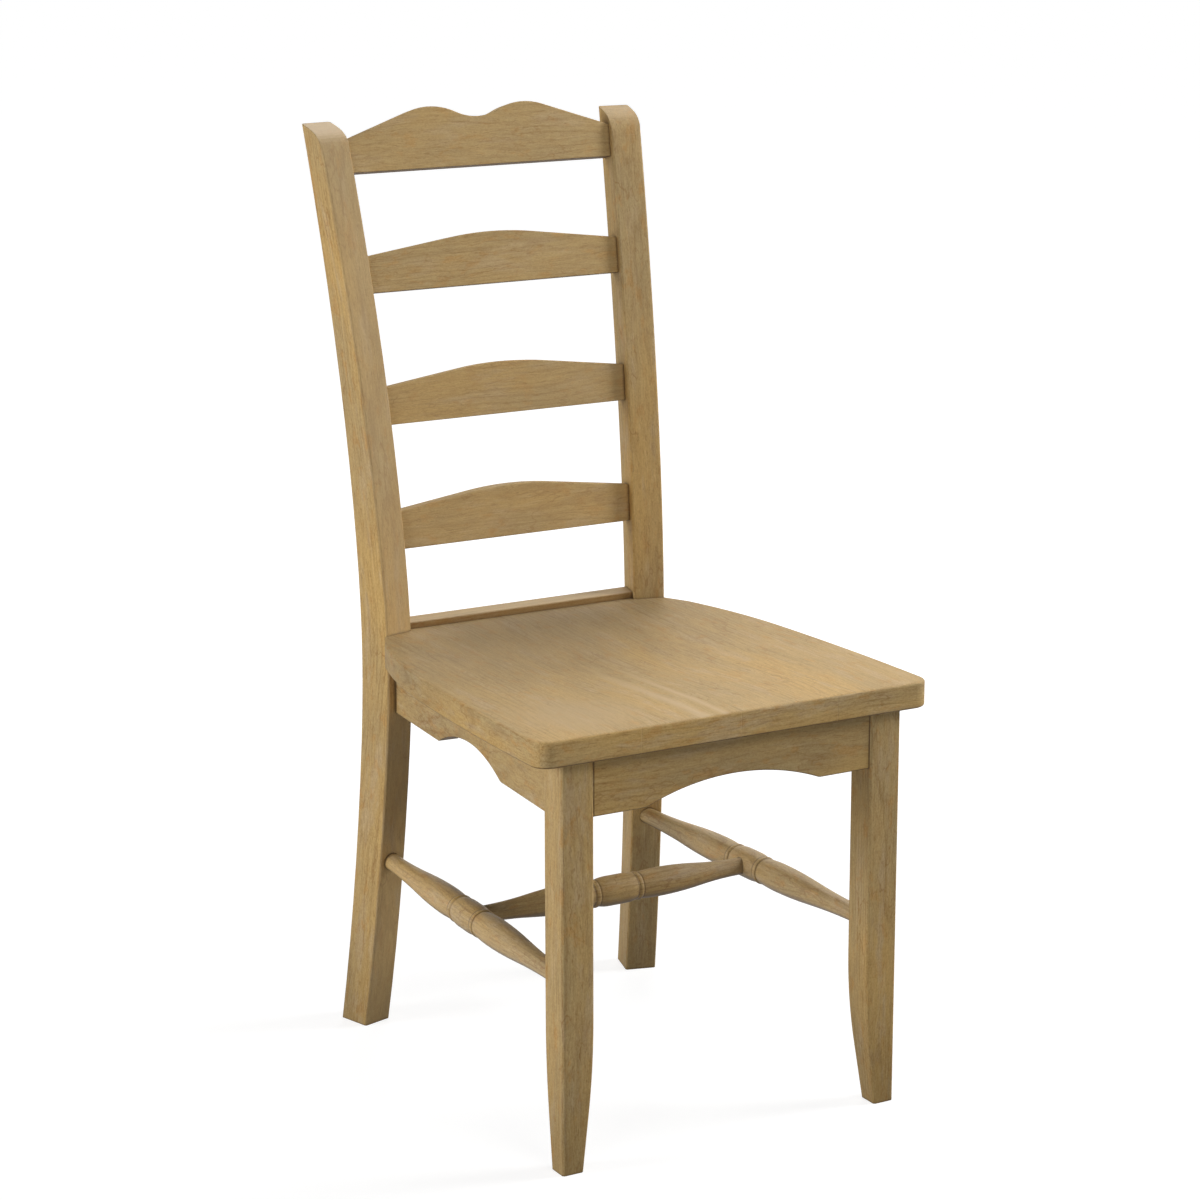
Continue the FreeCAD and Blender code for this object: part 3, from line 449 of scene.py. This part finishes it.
def board_place(tree, name, grain):
    """A place in the board, X along its grain, with the middle of the board at the origin.

    The seat's boards share one middle, so that their figure runs on from board to board,
    and the grain runs across the chair on the seat's front edge.
    """
    low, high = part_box(name)
    middle = (Vector(low) + Vector(high)) / 2
    if name.startswith("seat_board"):
        middle.x = 0.0
    place = tree.place()
    x, y, z = tree.split(place)
    if name.startswith("rear_post"):
        side = 1 if name.endswith("right") else -1
        y = tree.maths("SUBTRACT", y, post_bend(tree, z, FOOT_KICK, TOP_LEAN))
        x = tree.maths("SUBTRACT", x, post_bend(tree, z, side * FOOT_SPLAY, side * TOP_SPLAY))
    order = {"x": (x, y, z), "y": (y, x, z), "z": (z, x, y)}[grain]
    centre = {"x": middle, "y": (middle.y, middle.x, middle.z), "z": (middle.z, middle.x, middle.y)}[grain]
    joined = tree.add("CombineXYZ", dict(zip(("X", "Y", "Z"), order))).outputs[0]
    within = tree.vector("SUBTRACT", joined, tuple(centre))
    if not name.startswith("seat_board"):
        return within
    lip = tree.maths("LESS_THAN", tree.split(tree.facing())["Y"], SEAT_LIP_FACING)
    return tree.add("Mix", {0: lip, 4: within, 5: place}, data_type="VECTOR").outputs[1]


def seat_finish(tree, colour, facing):
    """The seat's colour with its paler top, a painted shadow of the back as a darker patch at its back,
    painted shade on its sides, and pale lines on its ridge, partly figure and partly painted highlight.
    """
    place = tree.place()
    across, along, _ = tree.split(place)
    up = tree.split(facing)["Z"]
    upward = tree.ramp(up, *UPWARD)
    started = tree.ramp(along, *SEAT_LINE_RUN)
    # Pale lines on the ridge, partly figure and partly painted highlight
    for middle, half in SEAT_LINES:
        off_line = tree.maths("ABSOLUTE", tree.maths("SUBTRACT", across, middle))
        line = tree.maths("MULTIPLY", tree.ramp(off_line, 2 * half, 0.0), started)
        colour = tree.coat(tree.maths("MULTIPLY", line, upward), SEAT_LINE_SHARE, colour, PALE)
    from_corner = tree.vector("LENGTH", tree.vector("SUBTRACT", place, SEAT_CORNER_PLACE))
    corner = tree.ramp(from_corner, *SEAT_CORNER_REACH)
    paling = tree.maths("MULTIPLY_ADD", corner, SEAT_CORNER_PALING, SEAT_TOP_PALING)
    colour = tree.coat(upward, paling, colour, ASH)

    # Painted shadow of the chair's back, the seat's painted brightness, and painted shade on its sides
    from_shadow_middle = {"Vector": tree.vector("SUBTRACT", place, SEAT_SHADOW_PLACE), "Angle": -SEAT_SHADOW_TURN}
    turned = tree.add("VectorRotate", from_shadow_middle, rotation_type="Z_AXIS").outputs[0]
    flat = tree.vector("MULTIPLY", tree.vector("DIVIDE", turned, SEAT_SHADOW_REACH), (1.0, 1.0, 0.0))
    away = tree.vector("LENGTH", flat)
    back_shadow = tree.maths("EXPONENT", tree.maths("MULTIPLY", tree.maths("MULTIPLY", away, away), -1.0))
    tone = tree.maths("MULTIPLY_ADD", back_shadow, -SEAT_SHADOW_DEPTH, SEAT_TONE)
    side = tree.maths("MULTIPLY_ADD", tree.ramp(up, *SEAT_SIDE_FACING), -SEAT_SIDE_SHADE, 1.0)
    return tree.scaled(colour, tree.maths("MULTIPLY", tone, side))


def worn_and_highlit_arrises(tree, colour, place, facing, rounded):
    """Pale wood where the arrises are worn, in patches, partly wear and partly a painted highlight on the
    edges.
    """
    turn = tree.maths("SUBTRACT", 1.0, tree.vector("DOT_PRODUCT", facing, rounded))
    patches = tree.noise(place, *WEAR_AND_HIGHLIGHT_NOISE)["Fac"]
    pale_edge = tree.maths("MULTIPLY", tree.ramp(turn, *ARRIS_TURN), tree.ramp(patches, *WEAR_AND_HIGHLIGHT_PATCH))
    return tree.coat(pale_edge, WEAR_AND_HIGHLIGHT_SHARE, colour, PALE)


def apron_joint_shadows(tree, colour):
    """Painted shadow lines at the ends of the front apron, where the legs' inner faces meet it."""
    leg_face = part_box("front_leg_right")[0][0]
    across = tree.maths("ABSOLUTE", tree.split(tree.place())["X"])
    line = tree.ramp(tree.maths("SUBTRACT", leg_face, across), *APRON_JOINT_SHADOW)
    return tree.coat(line, APRON_JOINT_SHADOW_SHARE, colour, PAINTED_SHADE)


def stretcher_groove_shade(tree, name, colour):
    """Painted shade of grooves: dark lines beside the thin rings of a stretcher."""
    middle, axis = stretcher_axis(name)
    along = tree.vector("DOT_PRODUCT", tree.vector("SUBTRACT", tree.place(), tuple(middle)), tuple(axis))
    from_ring = tree.maths("ABSOLUTE", tree.maths("SUBTRACT", tree.maths("ABSOLUTE", along), RING_OUT))
    from_groove = tree.maths("ABSOLUTE", tree.maths("SUBTRACT", from_ring, GROOVE_OUT))
    return tree.coat(tree.ramp(from_groove, *GROOVE_WIDTH), GROOVE_SHADE_SHARE, colour, PAINTED_SHADE)


def wood(pattern_group, name, grain, seed, warmth, tone, evenness):
    """A node's material: its own place in the wood's pattern, worn edges that are partly painted highlight,
    painted light and shade, and a soft sheen.
    """
    material, tree = blank_material("wood_" + name)
    place = board_place(tree, name, grain)
    pattern = tree.add("Group", node_tree=pattern_group)
    pith_side = PITH_SIDE * math.sin(seed * PITH_SIDE_TURN)
    pith = (0.0, pith_side, PITH_DEPTH + PITH_DEPTH_RANGE * math.cos(seed * PITH_DEPTH_TURN))
    inputs = {"Place": place, "Pith": pith, "Seed": seed, "Warmth": warmth, "Evenness": evenness}
    for key, value in inputs.items():
        tree.feed(pattern.inputs[key], value)

    facing = tree.facing()
    rounded = tree.add("Bevel", {"Radius": ARRIS_RADIUS}, samples=ARRIS_SAMPLES).outputs["Normal"]
    # Pale arrises: partly wear, partly a painted highlight on the edges
    colour = worn_and_highlit_arrises(tree, pattern.outputs["Color"], place, facing, rounded)
    # Painted light and shade on faces that look one way
    for axis, limits, share, paint in FACING_LIGHT_AND_SHADE.get(name, ()):
        colour = tree.coat(tree.ramp(tree.split(facing)[axis], *limits), share, colour, paint)
    if name.startswith("seat_board"):
        colour = seat_finish(tree, colour, facing)
    # Painted shade in creases and where parts meet, by how open the surface is
    openness = tree.add("AmbientOcclusion", {"Distance": CREASE_SHADE_REACH}, samples=CREASE_SHADE_SAMPLES).outputs["AO"]
    colour = tree.coat(tree.ramp(openness, *CREASE_SHADE_OPENNESS), CREASE_SHADE_SHARE, colour, PAINTED_SHADE)
    # Painted shadow lines where the front apron meets the legs
    if name == "front_apron":
        colour = apron_joint_shadows(tree, colour)
    # Painted shade of the grooves beside the stretchers' rings
    if name in STRETCHERS:
        colour = stretcher_groove_shade(tree, name, colour)
    # Painted shade on faces that look down
    colour = tree.coat(tree.ramp(tree.split(rounded)["Z"], *UNDERSIDE_FACING), UNDERSIDE_SHADE, colour, PAINTED_SHADE)
    # The node's tone, partly painted light and shade, scales the whole colour, which is also darker towards
    # the feet
    foot = tree.ramp(tree.split(tree.place())["Z"], FOOT_DARK_HEIGHT, 0.0)
    colour = tree.scaled(colour, tree.maths("MULTIPLY_ADD", foot, -FOOT_DARKENING, tone))

    relief = {"Strength": BUMP_STRENGTH, "Distance": BUMP_DISTANCE, "Height": pattern.outputs["Height"]}
    bump = tree.add("Bump", {**relief, "Normal": rounded})
    polish = SIDE_STRETCHER_POLISH if name.startswith("side_stretcher") else 0.0
    surface = tree.add("BsdfPrincipled", {"Base Color": colour, "Normal": bump.outputs["Normal"]})
    tree.feed(surface.inputs["Roughness"], tree.maths("SUBTRACT", pattern.outputs["Roughness"], polish))
    surface.inputs["Specular IOR Level"].default_value = TURNED_SPECULAR if name in STRETCHERS else SPECULAR
    tree.add("OutputMaterial", {"Surface": surface.outputs[0]})
    return material


def steel():
    """Zinc-coated screws: small scratches and a dull bloom."""
    material, tree = blank_material("screw_steel")
    place = tree.place()
    bloom = tree.noise(place, *BLOOM_NOISE)["Fac"]
    scratch = tree.noise(place, *SCRATCH_NOISE)["Fac"]
    relief = {"Strength": SCRATCH_STRENGTH, "Distance": SCRATCH_DISTANCE, "Height": scratch}
    surface = tree.add("BsdfPrincipled", {
        "Base Color": tree.blend(bloom, ZINC_DARK, ZINC_LIGHT),
        "Roughness": tree.maths("MULTIPLY_ADD", scratch, SCRATCH_ROUGHNESS, STEEL_ROUGHNESS),
        "Normal": tree.add("Bump", relief).outputs["Normal"],
    })
    surface.inputs["Metallic"].default_value = 1.0
    tree.add("OutputMaterial", {"Surface": surface.outputs[0]})
    return material


def stretcher_axis(name):
    """The middle of a stretcher and the direction along it, from the middles of its two ends."""
    points = [vertex.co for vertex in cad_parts[name].data.vertices]
    low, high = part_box(name)
    along = 0 if high.x - low.x > high.y - low.y else 1
    ends = []
    for end in (low[along], high[along]):
        rim = [point for point in points if abs(point[along] - end) < END_RIM]
        ends.append(sum(rim, Vector()) / len(rim))
    return (ends[0] + ends[1]) / 2, (ends[1] - ends[0]).normalized()


def turned_rings(name):
    """The two thin rings beside a stretcher's bulb, each closed on its inside."""
    middle, axis = stretcher_axis(name)
    first = axis.orthogonal().normalized()
    second = axis.cross(first)
    points = []
    faces = []
    for side in (-1, 1):
        start = len(points)
        for step in range(RING_STEPS + 1):
            bow = math.pi * step / RING_STEPS
            along = side * RING_OUT - RING_HALF_WIDTH * math.cos(bow)
            radius = RING_ROOT + (RING_RADIUS - RING_ROOT) * math.sin(bow)
            for spoke in range(RING_SIDES):
                turn = 2 * math.pi * spoke / RING_SIDES
                outwards = first * math.cos(turn) + second * math.sin(turn)
                points.append(middle + axis * along + outwards * radius)
        for step in range(RING_STEPS + 1):
            here = start + step * RING_SIDES
            there = start + (step + 1) % (RING_STEPS + 1) * RING_SIDES
            for spoke in range(RING_SIDES):
                after = (spoke + 1) % RING_SIDES
                faces.append((here + spoke, there + spoke, there + after, here + after))
    mesh = bpy.data.meshes.new("rings_of_" + name)
    mesh.from_pydata(points, [], faces)
    mesh.shade_smooth()
    mesh.materials.append(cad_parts[name].material_slots[0].material)
    rings = bpy.data.objects.new("rings_of_" + name, mesh)
    bpy.context.collection.objects.link(rings)
    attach(rings, "root")


def dress(name, material):
    """Gives a node's object that material in each of its slots."""
    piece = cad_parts[name]
    if not piece.material_slots:
        piece.data.materials.append(material)
    for slot in piece.material_slots:
        slot.material = material


def seen(tree):
    """1 for the camera's own rays and what they reach by gloss or glass, 0 for light that is cast."""
    path = tree.add("LightPath").outputs
    own = tree.maths("MAXIMUM", path["Is Camera Ray"], path["Is Glossy Ray"])
    return tree.maths("MAXIMUM", own, path["Is Transmission Ray"])


def white_world():
    """White for the rays that are seen, and dark for light that is cast."""
    world = bpy.data.worlds.new("studio")
    bpy.context.scene.world = world
    world.use_nodes = True
    world.node_tree.nodes.clear()
    tree = Tree(world.node_tree)
    white = tree.add("Background", {"Color": WHITE, "Strength": seen(tree)})
    tree.add("OutputWorld", {"Surface": white.outputs[0]})


def floor_paint():
    """Pale grey with light of its own, so that it is seen as white except in the chair's shadow."""
    material, tree = blank_material("floor_paint")
    place = tree.place()
    cloud = tree.noise(place, (FLOOR_GREY_SCALE,) * 3)["Fac"]
    low, high = ((grey,) * 3 for grey in FLOOR_GREYS)
    paint = tree.add("BsdfDiffuse", {"Color": tree.blend(cloud, low, high)})
    away = tree.ramp(tree.vector("LENGTH", place), *FLOOR_FADE)
    lift = tree.maths("MULTIPLY_ADD", away, 1.0 - FLOOR_GLOW, FLOOR_GLOW)
    glow = tree.add("Emission", {"Color": WHITE, "Strength": lift})
    lifted = tree.add("AddShader", {0: paint.outputs[0], 1: glow.outputs[0]})
    mixed = tree.add("MixShader", {0: seen(tree), 1: paint.outputs[0], 2: lifted.outputs[0]})
    tree.add("OutputMaterial", {"Surface": mixed.outputs[0]})
    return material


def floor():
    """A wide flat floor at the chair's feet."""
    mesh = bpy.data.meshes.new("floor")
    corners = [(x * FLOOR_HALF, y * FLOOR_HALF, 0) for x, y in ((-1, -1), (1, -1), (1, 1), (-1, 1))]
    mesh.from_pydata(corners, [], [(0, 1, 2, 3)])
    mesh.materials.append(floor_paint())
    piece = bpy.data.objects.new("floor", mesh)
    bpy.context.collection.objects.link(piece)


def lamp(name, place, size, power):
    """A round soft lamp that looks at the chair."""
    light = bpy.data.lights.new(name, "AREA")
    light.shape = "DISK"
    light.size = size
    light.energy = power
    holder = bpy.data.objects.new(name, light)
    holder.location = place
    holder.rotation_mode = "QUATERNION"
    holder.rotation_quaternion = (Vector(LAMP_AIM) - Vector(place)).to_track_quat("-Z", "Y")
    bpy.context.collection.objects.link(holder)


def photo_camera():
    """The camera, where the photograph was taken from."""
    camera = bpy.data.objects.new("camera", bpy.data.cameras.new("camera"))
    bpy.context.collection.objects.link(camera)
    camera.data.lens = CAMERA_LENS
    camera.data.sensor_width = CAMERA_SENSOR
    camera.data.clip_start = CAMERA_NEAR
    camera.data.clip_end = CAMERA_FAR
    camera.location = CAMERA_PLACE
    heading, dip = math.radians(CAMERA_HEADING), math.radians(CAMERA_DIP)
    sight = Vector((math.sin(heading) * math.cos(dip), math.cos(heading) * math.cos(dip), -math.sin(dip)))
    roll = Quaternion((0, 0, 1), math.radians(CAMERA_ROLL))
    camera.rotation_mode = "QUATERNION"
    camera.rotation_quaternion = sight.to_track_quat("-Z", "Y") @ roll
    bpy.context.scene.camera = camera


wood_pattern = grain_group()
for name, cut in WOOD.items():
    dress(name, wood(wood_pattern, name, *cut))
for name in STRETCHERS:
    turned_rings(name)
screw_steel = steel()
for name in SCREWS:
    dress(name, screw_steel)

white_world()
floor()
for settings in LAMPS:
    lamp(*settings)
photo_camera()
bpy.context.scene.view_settings.view_transform = "Standard"
